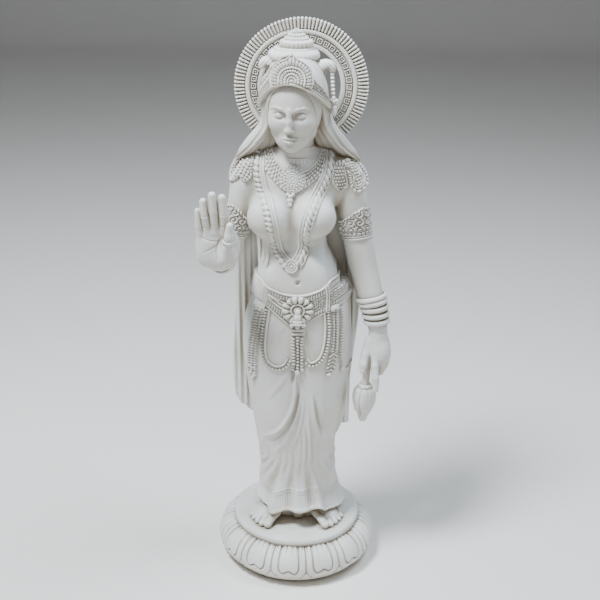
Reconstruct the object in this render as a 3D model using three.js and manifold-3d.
// A standing goddess figure in cast marble dust on a round lotus base, 457 mm tall.
// Millimetres, +Z up, the figure faces -Y. The origin is the centre of the base's underside.
// Right and left are the figure's own: its right hand is at -X.
import * as THREE from "three";
import { mergeVertices } from "three/addons/utils/BufferGeometryUtils.js";
import Module from "manifold-3d";

const wasm = await Module();
wasm.setup();

// ---------- driving dimensions ----------
const GAP = 0.3; // cement line between two castings
const BASE_HEIGHT = 32.3;
const BASE_RADIUS = 68;
const FOOT_RADIUS = 57; // of the base, where it meets the table
const PLINTH_RADIUS = 54.5;
const PLINTH_TOP = 38.6;
const WAIST_Z = 246; // skirt and torso castings meet here, under the belt
const ARM_JOINT_Z = 301; // upper arms end here, under the armlets
const NECK_JOINT_Z = 353.5; // head casting starts here, under the choker
const HALO = { z: 404.2, front: 27.5, depth: 5.5, outer: 52.8, inner: 30.9 };
const ROD_RADIUS = 4;
const DOWEL_RADIUS = 1.8;
const JEWEL_DEPTH = 2.3; // how far jewellery stands off the body

// ---------- materials ----------
const stone = (color, roughness) => new THREE.MeshStandardMaterial({ color, roughness, metalness: 0 });
const MARBLE = stone(0xcfcfca, 0.55);
const CARVED = stone(0xd6d6d1, 0.6);
const STEEL = new THREE.MeshStandardMaterial({ color: 0x8a8d90, roughness: 0.35, metalness: 1 });

// ---------- solids ----------
const v3 = (x, y, z) => new THREE.Vector3(x, y, z);

function solid(geometry) {
  const g = geometry.clone();
  for (const name of Object.keys(g.attributes)) if (name !== "position") g.deleteAttribute(name);
  const merged = mergeVertices(g, 1e-4);
  return new wasm.Manifold(
    new wasm.Mesh({
      numProp: 3,
      vertProperties: new Float32Array(merged.attributes.position.array),
      triVerts: new Uint32Array(merged.index.array),
    }),
  );
}

const join = (first, ...rest) => rest.reduce((sum, next) => sum.add(next), first);
const cut = (body, ...tools) => tools.reduce((left, tool) => left.subtract(tool), body);

const statue = new THREE.Group();

// Adds a piece to the statue, without the crumbs a cut may leave beside it.
function add(name, body, material) {
  const main = body.decompose().reduce((kept, next) => (next.volume() > kept.volume() ? next : kept));
  const made = main.getMesh();
  const stride = made.numProp;
  const points = new Float32Array(made.numVert * 3);
  for (let i = 0; i < made.numVert; i++) {
    points.set(made.vertProperties.subarray(i * stride, i * stride + 3), i * 3);
  }
  const geometry = new THREE.BufferGeometry();
  geometry.setAttribute("position", new THREE.BufferAttribute(points, 3));
  geometry.setIndex(new THREE.BufferAttribute(new Uint32Array(made.triVerts), 1));
  geometry.computeVertexNormals();
  const mesh = new THREE.Mesh(geometry, material);
  mesh.name = name;
  statue.add(mesh);
}

// A closed body through rings of equally many points, with a fan over each end.
function loft(rings) {
  const count = rings[0].length;
  const points = rings.flat();
  const faces = [];
  for (let r = 0; r + 1 < rings.length; r++) {
    for (let i = 0; i < count; i++) {
      const a = r * count + i;
      const b = r * count + ((i + 1) % count);
      faces.push(a, b, b + count, a, b + count, a + count);
    }
  }
  for (const [ring, start] of [[rings[0], 0], [rings.at(-1), (rings.length - 1) * count]]) {
    const middle = ring.reduce((sum, p) => sum.add(p), v3(0, 0, 0)).divideScalar(count);
    points.push(middle);
    for (let i = 0; i < count; i++) {
      const pair = [start + i, start + ((i + 1) % count)];
      if (start === 0) pair.reverse();
      faces.push(pair[0], pair[1], points.length - 1);
    }
  }
  const geometry = new THREE.BufferGeometry().setFromPoints(points);
  geometry.setIndex(faces);
  const body = solid(geometry);
  if (body.volume() > 0) return body;
  const turned = faces.slice();
  for (let i = 0; i < turned.length; i += 3) [turned[i + 1], turned[i + 2]] = [turned[i + 2], turned[i + 1]];
  geometry.setIndex(turned);
  return solid(geometry);
}

// Smooth values between named stations: stations are rows of numbers sorted by their first.
function between(stations, at) {
  let i = 0;
  while (i + 2 < stations.length && stations[i + 1][0] <= at) i++;
  const nearest = (k) => stations[Math.min(Math.max(k, 0), stations.length - 1)];
  const [p, a, b, q] = [i - 1, i, i + 1, i + 2].map(nearest);
  const t = Math.min(Math.max((at - a[0]) / (b[0] - a[0]), 0), 1);
  return a.map((start, k) => {
    const slopeA = (b[k] - p[k]) / (b[0] - p[0] || 1) * (b[0] - a[0]);
    const slopeB = (q[k] - start) / (q[0] - a[0] || 1) * (b[0] - a[0]);
    const [t2, t3] = [t * t, t * t * t];
    const ends = start * (2 * t3 - 3 * t2 + 1) + b[k] * (3 * t2 - 2 * t3);
    return ends + slopeA * (t3 - 2 * t2 + t) + slopeB * (t3 - t2);
  });
}

// An upright body of oval sections.
// A station is [z, middle x, middle y, half width, front depth, back depth].
// The sections between its ends lie at whole multiples of the spacing, so that two columns share them.
function column(stations, low, high, spacing, sides, grow = 0) {
  const levels = [low - grow];
  const first = Math.ceil(low / spacing + 0.3);
  for (let k = first; k * spacing < high - 0.3 * spacing; k++) {
    levels.push(k * spacing);
  }
  levels.push(high + grow);
  const rings = [];
  for (const z of levels) {
    const [, x, y, width, front, back] = between(stations, z);
    const ring = [];
    for (let i = 0; i < sides; i++) {
      const turn = (i / sides) * 2 * Math.PI;
      const depth = Math.sin(turn) < 0 ? front : back;
      ring.push(v3(x + (width + grow) * Math.cos(turn), y + (depth + grow) * Math.sin(turn), z));
    }
    rings.push(ring);
  }
  return loft(rings);
}

// A round body along a path. A station is [x, y, z, radius].
function limb(stations, steps, sides, grow = 0) {
  const path = new THREE.CatmullRomCurve3(stations.map(([x, y, z]) => v3(x, y, z)));
  const rings = [];
  for (let r = 0; r <= steps; r++) {
    const share = r / steps;
    const along = path.getTangent(share);
    const reach = r === 0 ? -grow : r === steps ? grow : 0;
    const middle = path.getPoint(share).addScaledVector(along, reach);
    const side = v3(0, 1, 0).cross(along).normalize();
    const front = along.clone().cross(side).normalize();
    const place = share * (stations.length - 1);
    const k = Math.min(Math.floor(place), stations.length - 2);
    const radius = THREE.MathUtils.lerp(stations[k][3], stations[k + 1][3], place - k) + grow;
    const ring = [];
    for (let i = 0; i < sides; i++) {
      const turn = (i / sides) * 2 * Math.PI;
      ring.push(middle.clone()
        .addScaledVector(side, radius * Math.cos(turn))
        .addScaledVector(front, radius * Math.sin(turn)));
    }
    rings.push(ring);
  }
  return loft(rings);
}

function ball(place, radii, sides = 16, turn = [0, 0, 0]) {
  const geometry = new THREE.SphereGeometry(1, sides, Math.round(sides * 0.6));
  geometry.scale(...radii);
  geometry.rotateX(turn[0]).rotateY(turn[1]).rotateZ(turn[2]);
  geometry.translate(...place);
  return solid(geometry);
}

// A finger, toe or pin with round ends.
function finger(from, to, radius, sides = 8) {
  const [a, b] = [v3(...from), v3(...to)];
  const geometry = new THREE.CapsuleGeometry(radius, a.distanceTo(b), 3, sides);
  const turn = new THREE.Quaternion().setFromUnitVectors(v3(0, 1, 0), b.clone().sub(a).normalize());
  geometry.applyQuaternion(turn);
  geometry.translate(...a.add(b).divideScalar(2).toArray());
  return solid(geometry);
}

function rod(from, to, radius, sides = 16) {
  const [a, b] = [v3(...from), v3(...to)];
  const geometry = new THREE.CylinderGeometry(radius, radius, a.distanceTo(b), sides);
  const turn = new THREE.Quaternion().setFromUnitVectors(v3(0, 1, 0), b.clone().sub(a).normalize());
  geometry.applyQuaternion(turn);
  geometry.translate(...a.add(b).divideScalar(2).toArray());
  return solid(geometry);
}

function block(low, high) {
  const size = high.map((top, k) => top - low[k]);
  const geometry = new THREE.BoxGeometry(...size);
  geometry.translate(...low.map((bottom, k) => bottom + size[k] / 2));
  return solid(geometry);
}

function lathe(outline, sides) {
  const points = outline.map(([r, h]) => new THREE.Vector2(r, h));
  return solid(new THREE.LatheGeometry(points, sides).rotateX(Math.PI / 2));
}

// A front-view shape in x and z, run from y = front to y = back.
function prism(shape, front, back) {
  const options = { depth: back - front, bevelEnabled: false, curveSegments: 8 };
  const geometry = new THREE.ExtrudeGeometry(shape, options);
  geometry.rotateX(Math.PI / 2);
  geometry.translate(0, back, 0);
  return solid(geometry);
}

const polygon = (points) => new THREE.Shape(points.map(([x, z]) => new THREE.Vector2(x, z)));

// A strap of one width along a smooth line in the front view.
function strap(line, width, steps) {
  const path = new THREE.SplineCurve(line.map(([x, z]) => new THREE.Vector2(x, z)));
  const [outer, inner] = [[], []];
  for (let i = 0; i <= steps; i++) {
    const p = path.getPoint(i / steps);
    const t = path.getTangent(i / steps);
    outer.push([p.x - (t.y * width) / 2, p.y + (t.x * width) / 2]);
    inner.unshift([p.x + (t.y * width) / 2, p.y - (t.x * width) / 2]);
  }
  return polygon([...outer, ...inner]);
}

const above = (z) => block([-200, -200, z], [200, 200, 600]);
const below = (z) => block([-200, -200, -50], [200, 200, z]);
const slab = (low, high) => block([-200, -200, low], [200, 200, high]);

// What of a tool lies in the skin of a body, from the cement line out to a depth.
const worn = (form, tool, depth = JEWEL_DEPTH) => tool.intersect(form(depth)).subtract(form(GAP));

// ---------- body forms, each a function of how much it is grown ----------
// [z, middle x, middle y, half width, front depth, back depth] from the hem to the shoulders
const BODY = [
  [38.9, 2.5, 3, 33, 24, 30],
  [46, 2.5, 1, 37, 33, 30],
  [53, 2.5, 1, 37, 38, 29],
  [64, 1.5, 1, 32.5, 33, 26],
  [80, 0.8, 1, 31.5, 30, 25],
  [104, 0, 0, 33, 31.5, 25],
  [130, 0.5, 0, 37, 34, 27],
  [160, 0, 0, 41.5, 34.5, 30],
  [195, -0.8, 0, 44.8, 33, 32],
  [222, -0.5, 0, 43.5, 31.5, 30],
  [246, 2.2, 0, 39, 29, 25],
  [258, 1.2, 0, 35.5, 27.5, 21],
  [270, -1.5, 0, 31.5, 25, 18.5],
  [285, -6, 0, 28, 21.5, 18],
  [300, -7, 0, 29, 22, 19],
  [315, -6, 0, 33, 22, 20],
  [328, -3, 0, 38, 21, 19],
  [338, -3, 0, 42, 19, 18],
  [346, -3, 0, 44, 16, 17],
  [352, -3, 0, 40, 12.5, 15],
  [358, -2.5, 0.5, 28, 9, 12],
  [363, -2, 1, 19, 7, 9],
];
// [x, y, z, radius] from the shoulder to the wrist
const RIGHT_ARM = [[-38, 0, 347, 9], [-42, 0.2, 335, 12], [-45.5, 0.5, 320, 10.8], [-49.5, 1, 302, 9.8],
  [-53, 0.5, 289, 9.4], [-55.5, -4, 280, 9.2], [-57.5, -18, 279, 8.6], [-59.5, -34, 281, 7.9],
  [-61, -46, 285, 7.2]];
const LEFT_ARM = [[34, 0, 347, 9], [38.6, 0.2, 335, 12.3], [41, 0.5, 320, 11.8], [43.7, 1, 302, 11],
  [48, 1, 281, 11.4],
  [51.5, 0, 264, 11.3], [57, -4, 245, 10.2], [61.5, -7, 232, 8.7], [65, -9.5, 214, 7.4]];
const NECK = [[-2.2, 1, 338, 15], [-2.2, 0, 352, 13.2], [-3, -2, 372, 13]];
const BREASTS = [[-24.5, -19, 311.5], [11.5, -19, 311.5]];
const BREAST_RADII = [17, 17, 16.5];
const CRANIUM = { place: [-5, -5, 397], radii: [21.5, 25, 26] };
const JAW = { place: [-5.6, -17, 381], radii: [15.5, 16, 15] };
const CROWN = { place: [-5, -4, 400], radii: [26, 29, 36] };
const CROWN_WALL = [[385, -5, -4, 26, 28, 24], [402, -5, -4, 25, 28.5, 25], [416, -5, -4, 22.5, 26.5, 24],
  [428, -6, -4, 19, 22.5, 21], [442, -7, -4, 15, 18.5, 18]];
const VEIL = [[338, -2.5, 2, 50, 20, 25], [346, -2.5, 2, 49.5, 20, 25.2], [358, -2.5, 2, 46, 20, 25.2],
  [368, -3, 2, 39, 21, 25.2], [382, -3, 1, 28.5, 24, 25], [400, -5, -1, 25, 26, 25],
  [412, -5, -2, 21, 24, 22]];
// [z, middle x, half width, middle y of the back, edge y of the back]
const DRAPE = [[105, 6, 38, 31, 24], [130, 0, 48, 33, 24], [160, -4, 52, 35, 23], [195, -3, 53, 37, 22],
  [222, -1, 54, 36, 21], [246, 0, 53, 32, 21], [270, 0, 51, 27.5, 20], [300, 0, 49, 26.5, 19],
  [338, 0, 48, 26.5, 18]];

const SIDES = 20; // of every section of the trunk and the skirt
const SPACING = 10; // between those sections
const scaled = ({ place, radii }, grow, sides, turn) => ball(place, radii.map((r) => r + grow), sides, turn);
const trunkForm = (grow) => join(
  column(BODY, WAIST_Z - 24, 363, SPACING, SIDES, grow),
  ...BREASTS.map((place) => ball(place, BREAST_RADII.map((r) => r + grow), 12)),
);
const neckForm = (grow) => limb(NECK, 2, 12, grow);
const rightArmForm = (grow) => limb(RIGHT_ARM, 9, 9, grow);
const leftArmForm = (grow) => limb(LEFT_ARM, 8, 9, grow);
const bustForm = (grow) => join(trunkForm(grow), neckForm(grow), rightArmForm(grow), leftArmForm(grow));
const skirtForm = (grow) => column(BODY, PLINTH_TOP + GAP, WAIST_Z + 16, SPACING, SIDES, grow);
const hipsForm = (grow) => column(BODY, 168, 278, SPACING, SIDES, grow);
const headForm = (grow) => join(
  scaled(CRANIUM, grow, 14),
  scaled(JAW, grow, 12, [0.2, 0, 0]),
  neckForm(grow).intersect(above(NECK_JOINT_Z)),
);

// ---------- base ----------
const rodHole = rod([1, 1, 6 - GAP], [1, 1, 200 + GAP], ROD_RADIUS + GAP);
const cheek = BASE_HEIGHT / 2;
const baseOutline = [[0, 0], [FOOT_RADIUS, 0]];
for (let i = 0; i <= 6; i++) {
  const turn = THREE.MathUtils.lerp(-0.42, 0.48, i / 6) * Math.PI;
  baseOutline.push([BASE_RADIUS - cheek + cheek * Math.cos(turn), cheek + cheek * Math.sin(turn)]);
}
baseOutline.push([BASE_RADIUS - cheek, BASE_HEIGHT], [0, BASE_HEIGHT]);
add("lotus_base", cut(lathe(baseOutline, 36), rodHole), MARBLE);

const plinthLow = BASE_HEIGHT + GAP;
const plinthOutline = [[0, plinthLow], [PLINTH_RADIUS - 0.8, plinthLow], [PLINTH_RADIUS, plinthLow + 1],
  [PLINTH_RADIUS, PLINTH_TOP - 1.2], [PLINTH_RADIUS - 1.2, PLINTH_TOP], [0, PLINTH_TOP]];
add("plinth_disc", cut(lathe(plinthOutline, 36), rodHole), MARBLE);
add("armature_rod", rod([1, 1, 6], [1, 1, 200], ROD_RADIUS), STEEL);

// ---------- feet: side is -1 for the right foot and 1 for the left ----------
const TOES = [[24.6, -35.6, 3.5], [29.6, -33.2, 2.7], [33.4, -29.2, 2.5], [36.5, -24.4, 2.3],
  [38.8, -19.4, 2.1]];

function foot(side, grow = 0) {
  const toes = TOES.map(([x, y, r]) => {
    const z = PLINTH_TOP + GAP + r;
    return finger([side * (x - 6), y + 9, z + 2], [side * x, y, z], r + grow, 6);
  });
  const turn = [0, 0, side * 0.66];
  const whole = join(
    ball([side * 18.5, 1, 46], [10.5 + grow, 14 + grow, 10 + grow], 10, turn),
    ball([side * 22.5, -14, 45], [10 + grow, 18 + grow, 8 + grow], 10, turn),
    ...toes,
  );
  return whole.intersect(above(PLINTH_TOP + GAP - grow));
}
add("foot_right", foot(-1), MARBLE);
add("foot_left", foot(1), MARBLE);

// ---------- dowels: each half in one casting and half in the next ----------
const DOWELS = [
  ["neck_dowel", [-2.5, 0, 338], [-2.5, 0, 370]],
  ["arm_dowel_right", [-51.6, 1, ARM_JOINT_Z - 10], [-48, 1, ARM_JOINT_Z + 11]],
  ["arm_dowel_left", [43.7, 1, ARM_JOINT_Z - 11], [43.7, 1, ARM_JOINT_Z + 12]],
  ["halo_dowel", [-2, 14, 362], [-2, 31.4, 362]],
];
const sockets = DOWELS.map(([, from, to]) => {
  const along = v3(...to).sub(v3(...from)).setLength(GAP);
  const [low, high] = [v3(...from).sub(along), v3(...to).add(along)];
  return rod(low.toArray(), high.toArray(), DOWEL_RADIUS + GAP, 10);
});
for (const [name, from, to] of DOWELS) add(name, rod(from, to, DOWEL_RADIUS, 10), STEEL);

// ---------- body castings ----------
add("skirt", cut(skirtForm(0).intersect(below(WAIST_Z)), foot(-1, GAP), foot(1, GAP), rodHole), MARBLE);
const headSpace = neckForm(GAP).intersect(above(NECK_JOINT_Z - GAP));
const shoulders = join(
  trunkForm(0).intersect(above(WAIST_Z + GAP)),
  neckForm(0),
  rightArmForm(0).intersect(above(ARM_JOINT_Z)),
  leftArmForm(0).intersect(above(ARM_JOINT_Z)),
);
add("torso", cut(shoulders, headSpace, ...sockets), MARBLE);
add("head", cut(headForm(0), ...sockets), MARBLE);

// ---------- hands ----------
// The right palm faces forward. A finger is [base, tip, radius].
const RIGHT_FINGERS = [
  [[-57.5, -54, 312], [-57, -56, 337], 3.7],
  [[-63, -54, 312], [-64.6, -56, 338.5], 3.7],
  [[-68.5, -54, 311], [-71, -56, 334.5], 3.4],
  [[-73, -54, 306], [-75, -56, 328], 2.9],
  [[-54, -57, 296], [-51.5, -61, 317], 3.5],
];
const LEFT_FINGERS = [
  [[62.5, -18, 192], [63.4, -23.5, 167], 3.5],
  [[58, -13, 200], [54, -19, 182], 3.6],
  [[69, -13, 188], [67, -6, 173], 4.2],
];
const rightPalm = (grow) => join(
  ball([-61, -52, 300], [15.5 + grow, 6.5 + grow, 16.5 + grow], 12),
  ...RIGHT_FINGERS.map(([from, to, radius]) => finger(from, to, radius + grow, 7)),
);
const leftPalm = (grow) => join(
  ball([65, -11.5, 197], [11 + grow, 8 + grow, 18 + grow], 12, [0, 0.1, 0]),
  ...LEFT_FINGERS.map(([from, to, radius]) => finger(from, to, radius + grow, 7)),
);

// A plain ring: its middle line has the given radius, its stock is twice as thick as "thick".
function hoop(place, axis, radius, thick, sides = 16) {
  const geometry = new THREE.TorusGeometry(radius, thick, 5, sides);
  geometry.applyQuaternion(new THREE.Quaternion().setFromUnitVectors(v3(0, 0, 1), axis.clone().normalize()));
  geometry.translate(...place.toArray());
  return solid(geometry);
}

function bangle(stations, share, thick) {
  const path = new THREE.CatmullRomCurve3(stations.map(([x, y, z]) => v3(x, y, z)));
  const place = share * (stations.length - 1);
  const k = Math.min(Math.floor(place), stations.length - 2);
  const limbRadius = THREE.MathUtils.lerp(stations[k][3], stations[k + 1][3], place - k);
  return hoop(path.getPoint(share), path.getTangent(share), limbRadius + GAP + 0.3 + thick, thick);
}

const trunkSpace = trunkForm(GAP);
function arm(form, hand) {
  const lower = form.intersect(below(ARM_JOINT_Z - GAP));
  return cut(lower, trunkSpace, skirtForm(GAP), hand, ...sockets);
}
add("arm_right", arm(rightArmForm(0), rightPalm(GAP)), MARBLE);
add("arm_left", arm(leftArmForm(0), leftPalm(GAP)), MARBLE);

add("hand_right", rightPalm(0), MARBLE);

const BUD_TOP = [55.8, -15, 167.2];
const STEM_TOP = [57.4, -14.5, 190];
function stem(grow) {
  const low = [BUD_TOP[0], BUD_TOP[1], BUD_TOP[2] + 0.4 - grow];
  const top = [STEM_TOP[0], STEM_TOP[1], STEM_TOP[2] + grow];
  return rod(low, top, 2 + grow, 8);
}
add("bud_stem", stem(0), MARBLE);

const [thumbBase, thumbTip, thumbRadius] = RIGHT_FINGERS[4];
const thumbLine = v3(...thumbTip).sub(v3(...thumbBase));
const ringPlace = v3(...thumbBase).addScaledVector(thumbLine, 0.45);
const thumbRing = hoop(ringPlace, thumbLine, thumbRadius + GAP + 1.1, 0.9, 12);
add("thumb_ring_right", cut(thumbRing, rightPalm(GAP)), CARVED);

const RIGHT_BANGLES = [0.86, 0.885, 0.91];
RIGHT_BANGLES.forEach((share, i) => {
  add(`bangle_right_${i + 1}`, cut(bangle(RIGHT_ARM, share, 1), rightPalm(GAP)), CARVED);
});
const LEFT_BANGLES = [0.795, 0.833, 0.871, 0.909, 0.947];
LEFT_BANGLES.forEach((share, i) => {
  add(`bangle_left_${i + 1}`, cut(bangle(LEFT_ARM, share, 1.2), leftPalm(GAP)), CARVED);
});

// ---------- lotus bud hanging from the left hand ----------
// A turned piece whose axis leans a little; rows of [radius, distance down from the collar's top].
function budPart(outline, sides, grow = 0) {
  const points = outline.map(([r, down]) => new THREE.Vector2(r > 0 ? r + grow : 0, -down));
  const geometry = new THREE.LatheGeometry(points.reverse(), sides);
  geometry.rotateX(Math.PI / 2);
  geometry.rotateY(0.04);
  geometry.translate(...BUD_TOP);
  return solid(geometry);
}
const CALYX = [[0, 0], [4.2, 0], [5.4, 1.2], [5.2, 2.6], [4.3, 3.4], [0, 3.4]];
const BUD = [[0, 3.7], [4.4, 3.7], [7.6, 6], [9, 11], [8.8, 16], [7.2, 22], [4.6, 27.6], [3.2, 31.6],
  [1.8, 34], [0, 34.6]];
add("bud_calyx", budPart(CALYX, 14), CARVED);
add("lotus_bud", budPart(BUD, 18), MARBLE);
add("hand_left", cut(leftPalm(0), stem(GAP), budPart(CALYX, 14, GAP), budPart(BUD, 18, GAP)), MARBLE);

// ---------- jewellery worn on the body ----------
const NECKLACE_RIGHT = [[-32, 362], [-32, 347], [-29, 333], [-25, 324], [-22.5, 314], [-20.3, 300],
  [-17, 286],
  [-12.5, 278.5], [-7, 276]];
const NECKLACE_LEFT = [[22, 362], [20.5, 347], [15.5, 335.5], [9, 322.5], [5.2, 312], [3.6, 300], [3, 288],
  [0, 280.5], [-5, 276]];
const NECKLACE_WIDTH = 10;
const MEDALLION = [-6, 274.3, 5];
const inFront = block([-200, -200, 0], [200, -0.5, 600]);

const roundPatch = (x, z, radius) => {
  const shape = new THREE.Shape();
  shape.absellipse(x, z, radius, radius, 0, 2 * Math.PI, false, 0);
  return prism(shape, -80, 0);
};
const necklaceTool = (grow) => join(
  ...[NECKLACE_RIGHT, NECKLACE_LEFT].map((line) => {
    return prism(strap(line, NECKLACE_WIDTH + 2 * grow, 10), -80, 3);
  }),
);
const medallionTool = (grow) => roundPatch(MEDALLION[0], MEDALLION[1], MEDALLION[2] + grow);
add("long_necklace", cut(worn(bustForm, necklaceTool(0)), medallionTool(GAP)).intersect(inFront), CARVED);
add("necklace_medallion", worn(bustForm, medallionTool(0), 3.2), CARVED);

const COLLAR = polygon([[-26, 358], [-26, 346], [-19.5, 338.5], [-13.5, 334], [-7, 332.5], [1, 334],
  [7, 338.5],
  [13, 345], [15.5, 358]]);
const collarTool = cut(prism(COLLAR, -80, 0), necklaceTool(GAP), neckForm(2.6));
add("collar", worn(bustForm, collarTool.intersect(below(354)), 2.2), CARVED);
const pendantZone = prism(strap([[-7.2, 332.1], [-7.6, 327], [-8, 322.5]], 6.5, 4), -80, 0);
add("collar_pendant", worn(bustForm, pendantZone, 2.8), CARVED);

const chokerBlank = neckForm(2).intersect(slab(350, 357)).intersect(inFront);
add("choker", cut(chokerBlank, neckForm(GAP), trunkSpace), CARVED);

const ARMLET_RIGHT = polygon([[-62, 320], [-50, 319], [-33, 302], [-30, 286], [-62, 290]]);
const ARMLET_LEFT = polygon([[28, 304], [58, 317], [62, 286], [28, 289]]);
add("armlet_right", cut(worn(rightArmForm, prism(ARMLET_RIGHT, -60, 60)), trunkSpace), CARVED);
add("armlet_left", cut(worn(leftArmForm, prism(ARMLET_LEFT, -60, 60)), trunkSpace), CARVED);

const SHOULDER_RIGHT = polygon([[-62, 352], [-47.5, 358], [-37.5, 359], [-37.6, 343], [-42.3, 338.2],
  [-46.5, 341],
  [-54.5, 335], [-62, 336]]);
const SHOULDER_LEFT = polygon([[26.5, 357], [25.5, 345], [24.5, 340], [30.6, 330.2], [36, 335], [44.2, 329],
  [52, 333], [58, 337], [58, 348], [46, 354]]);
const shoulderPiece = (shape) => cut(worn(bustForm, prism(shape, -80, 5)), necklaceTool(GAP));
add("shoulder_ornament_right", shoulderPiece(SHOULDER_RIGHT), CARVED);
add("shoulder_ornament_left", shoulderPiece(SHOULDER_LEFT), CARVED);

// ---------- belt and its hangings ----------
const BELT_TOP = [[-60, 262], [-40, 261], [-33.6, 259.4], [-24.5, 256.5], [-13.8, 252.6], [-1.4, 251.6],
  [8.4, 252.8],
  [18.8, 255.7], [28, 261.5], [38, 263], [60, 263]];
const BELT_BOTTOM = [[-60, 243], [-35.1, 242.4], [-29.8, 240.5], [-22.4, 237.2], [-11.7, 230.1], [-4.4, 225],
  [6.1, 225.5], [13.3, 230.7], [23.8, 236], [31.8, 239.5], [40.8, 243.6], [60, 244]];
const CLASP = [-0.5, 239, 12];
const beltTool = (grow) => join(
  prism(polygon([
    ...BELT_TOP.map(([x, z]) => [x, z + grow]),
    ...BELT_BOTTOM.map(([x, z]) => [x, z - grow]).reverse(),
  ]), -80, 1),
  block([-80, 0, 243.5 - grow], [80, 80, 262 + grow]),
);
const claspTool = (grow) => roundPatch(CLASP[0], CLASP[1], CLASP[2] + grow);
add("belt", cut(worn(hipsForm, beltTool(0)), claspTool(GAP)), CARVED);
add("belt_clasp", worn(hipsForm, claspTool(0), 4.2), CARVED);

// Strings of beads on the skirt: [name, line in the front view, width].
const centreTassel = prism(strap([[-0.8, 226.4], [-0.8, 206], [-0.6, 186.6]], 12, 4), -80, 0);
const tasselSpace = prism(strap([[-0.8, 228], [-0.8, 206], [-0.6, 185]], 12 + 2 * GAP, 4), -80, 0);
const SIDE_TASSELS = [
  ["side_tassel_right", [[-31, 240], [-33.5, 222], [-36.4, 204], [-37.2, 188], [-37, 174]], 8.4],
  ["side_tassel_left", [[28.4, 240], [28.8, 224], [28.7, 208], [27.3, 196], [25, 183]], 5.4],
  ["hip_string_left", [[33.6, 240], [34.6, 224], [34.4, 208], [34.4, 196], [36, 182]], 3.6],
];
const SWAGS = [
  ["swag_right", [[-24.6, 240], [-26.8, 222], [-28, 206], [-26, 194.5], [-21.5, 190.3], [-16, 189.4],
    [-10.5, 191.8],
    [-6, 200]], 4.4],
  ["swag_left", [[21.8, 240], [22.8, 222], [21.8, 208], [19.2, 199], [14.6, 193.6], [9.6, 192.6],
    [4, 199]], 4.4],
];
const stringTool = (line, width) => prism(strap(line, width, 9), -80, 0);
const sideSpace = join(...SIDE_TASSELS.map(([, line, width]) => stringTool(line, width + 2 * GAP)));
const beltSpace = join(beltTool(GAP), claspTool(GAP));
add("centre_tassel", cut(worn(hipsForm, centreTassel, 3.4), beltSpace), CARVED);
for (const [name, line, width] of SIDE_TASSELS) {
  add(name, cut(worn(hipsForm, stringTool(line, width)), beltSpace), CARVED);
}
for (const [name, line, width] of SWAGS) {
  add(name, cut(worn(hipsForm, stringTool(line, width)), beltSpace, sideSpace, tasselSpace), CARVED);
}

// ---------- hair, crown and topknot ----------
const HAIR_DEPTH = 1.8;
const hairZone = join(block([-60, -12, 374], [60, 60, 430]), block([-60, -60, 410], [60, 0, 430]));
add("hair", cut(headForm(HAIR_DEPTH).intersect(hairZone), headForm(GAP)), MARBLE);

const BRIM = [[-32, 398], [-28.6, 403.6], [-23.1, 411.5], [-16.6, 415], [-6.9, 416], [3.6, 412.6],
  [12.9, 405.2],
  [20.4, 395.6], [25, 388]];
const BAND_TOP = [[25, 393], [19.6, 402.8], [14.3, 413], [8.4, 420], [4.9, 426.6], [-1.6, 434.4],
  [-7.9, 439],
  [-14.1, 436.3], [-26.3, 422.1], [-30, 414.3], [-34, 408]];
const wall = (grow) => column(CROWN_WALL, 386, 441, SPACING, SIDES, grow);
const domeSpace = scaled(CROWN, GAP, 18);
const underBrim = prism(polygon([[-40, 370], ...BRIM, [35, 370]]), -60, -2.7);
const dome = cut(scaled(CROWN, 0, 18).intersect(above(398)), headForm(HAIR_DEPTH + GAP), underBrim);
add("crown_dome", dome, MARBLE);
const band = cut(wall(3), wall(0)).intersect(prism(polygon([...BRIM, ...BAND_TOP]), -60, -3));
add("crown_band", cut(band, domeSpace, headForm(HAIR_DEPTH + GAP)), CARVED);
const plaque = roundPatch(-7, 420, 14.5).intersect(above(417.5));
add("crown_plaque", cut(wall(5).intersect(plaque), wall(3 + GAP)), CARVED);

const TOPKNOT = [-5, 4];
const turned = (outline, sides) => lathe(outline, sides).translate([TOPKNOT[0], TOPKNOT[1], 0]);
const KNOT_OUTLINE = [[0, 425], [14, 427], [17.6, 429.5], [18, 432.5], [17, 436], [14, 438], [0, 438]];
const topknotRing = turned(KNOT_OUTLINE, 20);
add("topknot_ring", cut(topknotRing, domeSpace), CARVED);
add("topknot_finial", turned([[0, 438.3], [11, 438.3], [12.6, 440], [12.6, 442.5], [11, 444.5], [8.5, 445.2],
  [7, 448], [0.8, 452], [0, 452]], 20), CARVED);

const bandSpace = wall(3 + GAP).intersect(prism(polygon([...BRIM, ...BAND_TOP]), -60, -3 + GAP));
const crownSpace = join(domeSpace, bandSpace);
const knotSpace = turned([[0, 420], [18.4, 420], [18.4, 439], [0, 439]], 20);
const WINGS = [
  ["crown_wing_right", [[-20, 0, 417, 4.6], [-25, -1, 424, 4.2], [-28, -2.5, 427, 3]]],
  ["crown_wing_left", [[13, 0, 415, 4.6], [18.2, -1, 422.5, 4.2], [21.5, -2.5, 425, 3]]],
];
for (const [name, stations] of WINGS) {
  add(name, cut(limb(stations, 5, 10), crownSpace, knotSpace), CARVED);
}
const pendant = ([top, low], grow) => join(
  finger(top, low, 1.5 + grow, 6),
  ball(low, [2.6 + grow, 2.6 + grow, 3.6 + grow], 8),
);
const PENDANTS = [
  ["crown_pendant_right", [[-28.8, 12, 413], [-28.8, 12, 395]]],
  ["crown_pendant_left", [[23.6, -3, 417], [24.6, -7, 394]]],
];
for (const [name, ends] of PENDANTS) add(name, cut(pendant(ends, 0), crownSpace), CARVED);

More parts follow.
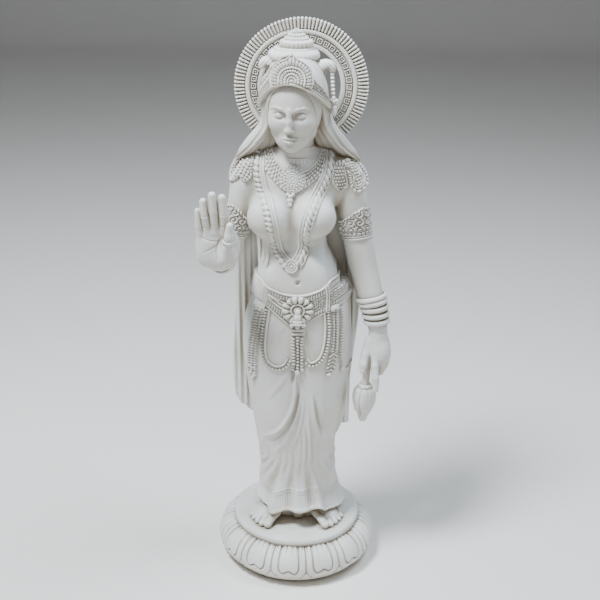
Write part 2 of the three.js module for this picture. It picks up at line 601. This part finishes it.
// ---------- veil, back drape and halo ----------
const veilForm = (grow) => column(VEIL, 338.3, 412, SPACING, SIDES, grow);
const hollow = column(VEIL, 330, 420, SPACING, SIDES, -3.2).intersect(block([-80, -80, 300], [80, 4, 430]));
const veilZone = block([-80, -9, 338.3], [80, 60, 412]);
const shoulderZone = bustForm(JEWEL_DEPTH + GAP).intersect(block([-80, -80, 300], [80, 5.3, 430]));
const pendantSpace = join(...PENDANTS.map(([, ends]) => pendant(ends, GAP)));
const veil = cut(veilForm(0).intersect(veilZone), headForm(HAIR_DEPTH + GAP), hollow, bustForm(GAP),
  shoulderZone,
  crownSpace, pendantSpace, ...sockets);
add("veil", veil, MARBLE);

function drapeRing([z, x, width, middle, edge]) {
  const [back, front] = [[], []];
  for (let i = 0; i <= 8; i++) {
    const u = i / 4 - 1;
    const y = middle + (edge - middle) * u * u;
    back.push(v3(x + width * u, y, z));
    front.unshift(v3(x + width * u, y - 6.5 - 5 * (1 - u * u), z));
  }
  return [...back, ...front];
}
const DRAPE_OUTLINE = polygon([[-47, 338], [-50, 300], [-50.4, 281], [-52.9, 226], [-56, 179], [-54, 139],
  [-49.6, 130],
  [-43, 124], [-35.4, 117], [-28, 112], [45, 112], [45, 157], [49, 200], [53, 240], [50, 280], [47, 338]]);
const drapeSolid = loft(DRAPE.map(drapeRing)).intersect(prism(DRAPE_OUTLINE, -10, 60));
add("back_drape", cut(drapeSolid, trunkSpace, skirtForm(GAP), neckForm(GAP),
  rightArmForm(JEWEL_DEPTH + GAP), leftArmForm(JEWEL_DEPTH + GAP),
  hipsForm(JEWEL_DEPTH + 2 * GAP).intersect(beltTool(2 * GAP))), MARBLE);

const haloOutline = [[HALO.inner, 0], [34.5, 0], [34.5, 1.2], [40.5, 1.2], [40.5, 0], [44.2, 0], [44.2, 0.8],
  [HALO.outer - 0.8, 0.8], [HALO.outer, 2], [HALO.outer, HALO.depth], [HALO.inner, HALO.depth],
  [HALO.inner, 0]];
const halo = solid(new THREE.LatheGeometry(haloOutline.map(([r, y]) => new THREE.Vector2(r, y)), 36));
add("halo_ring", cut(halo.translate([0, HALO.front, HALO.z]), ...sockets), CARVED);

export default statue;
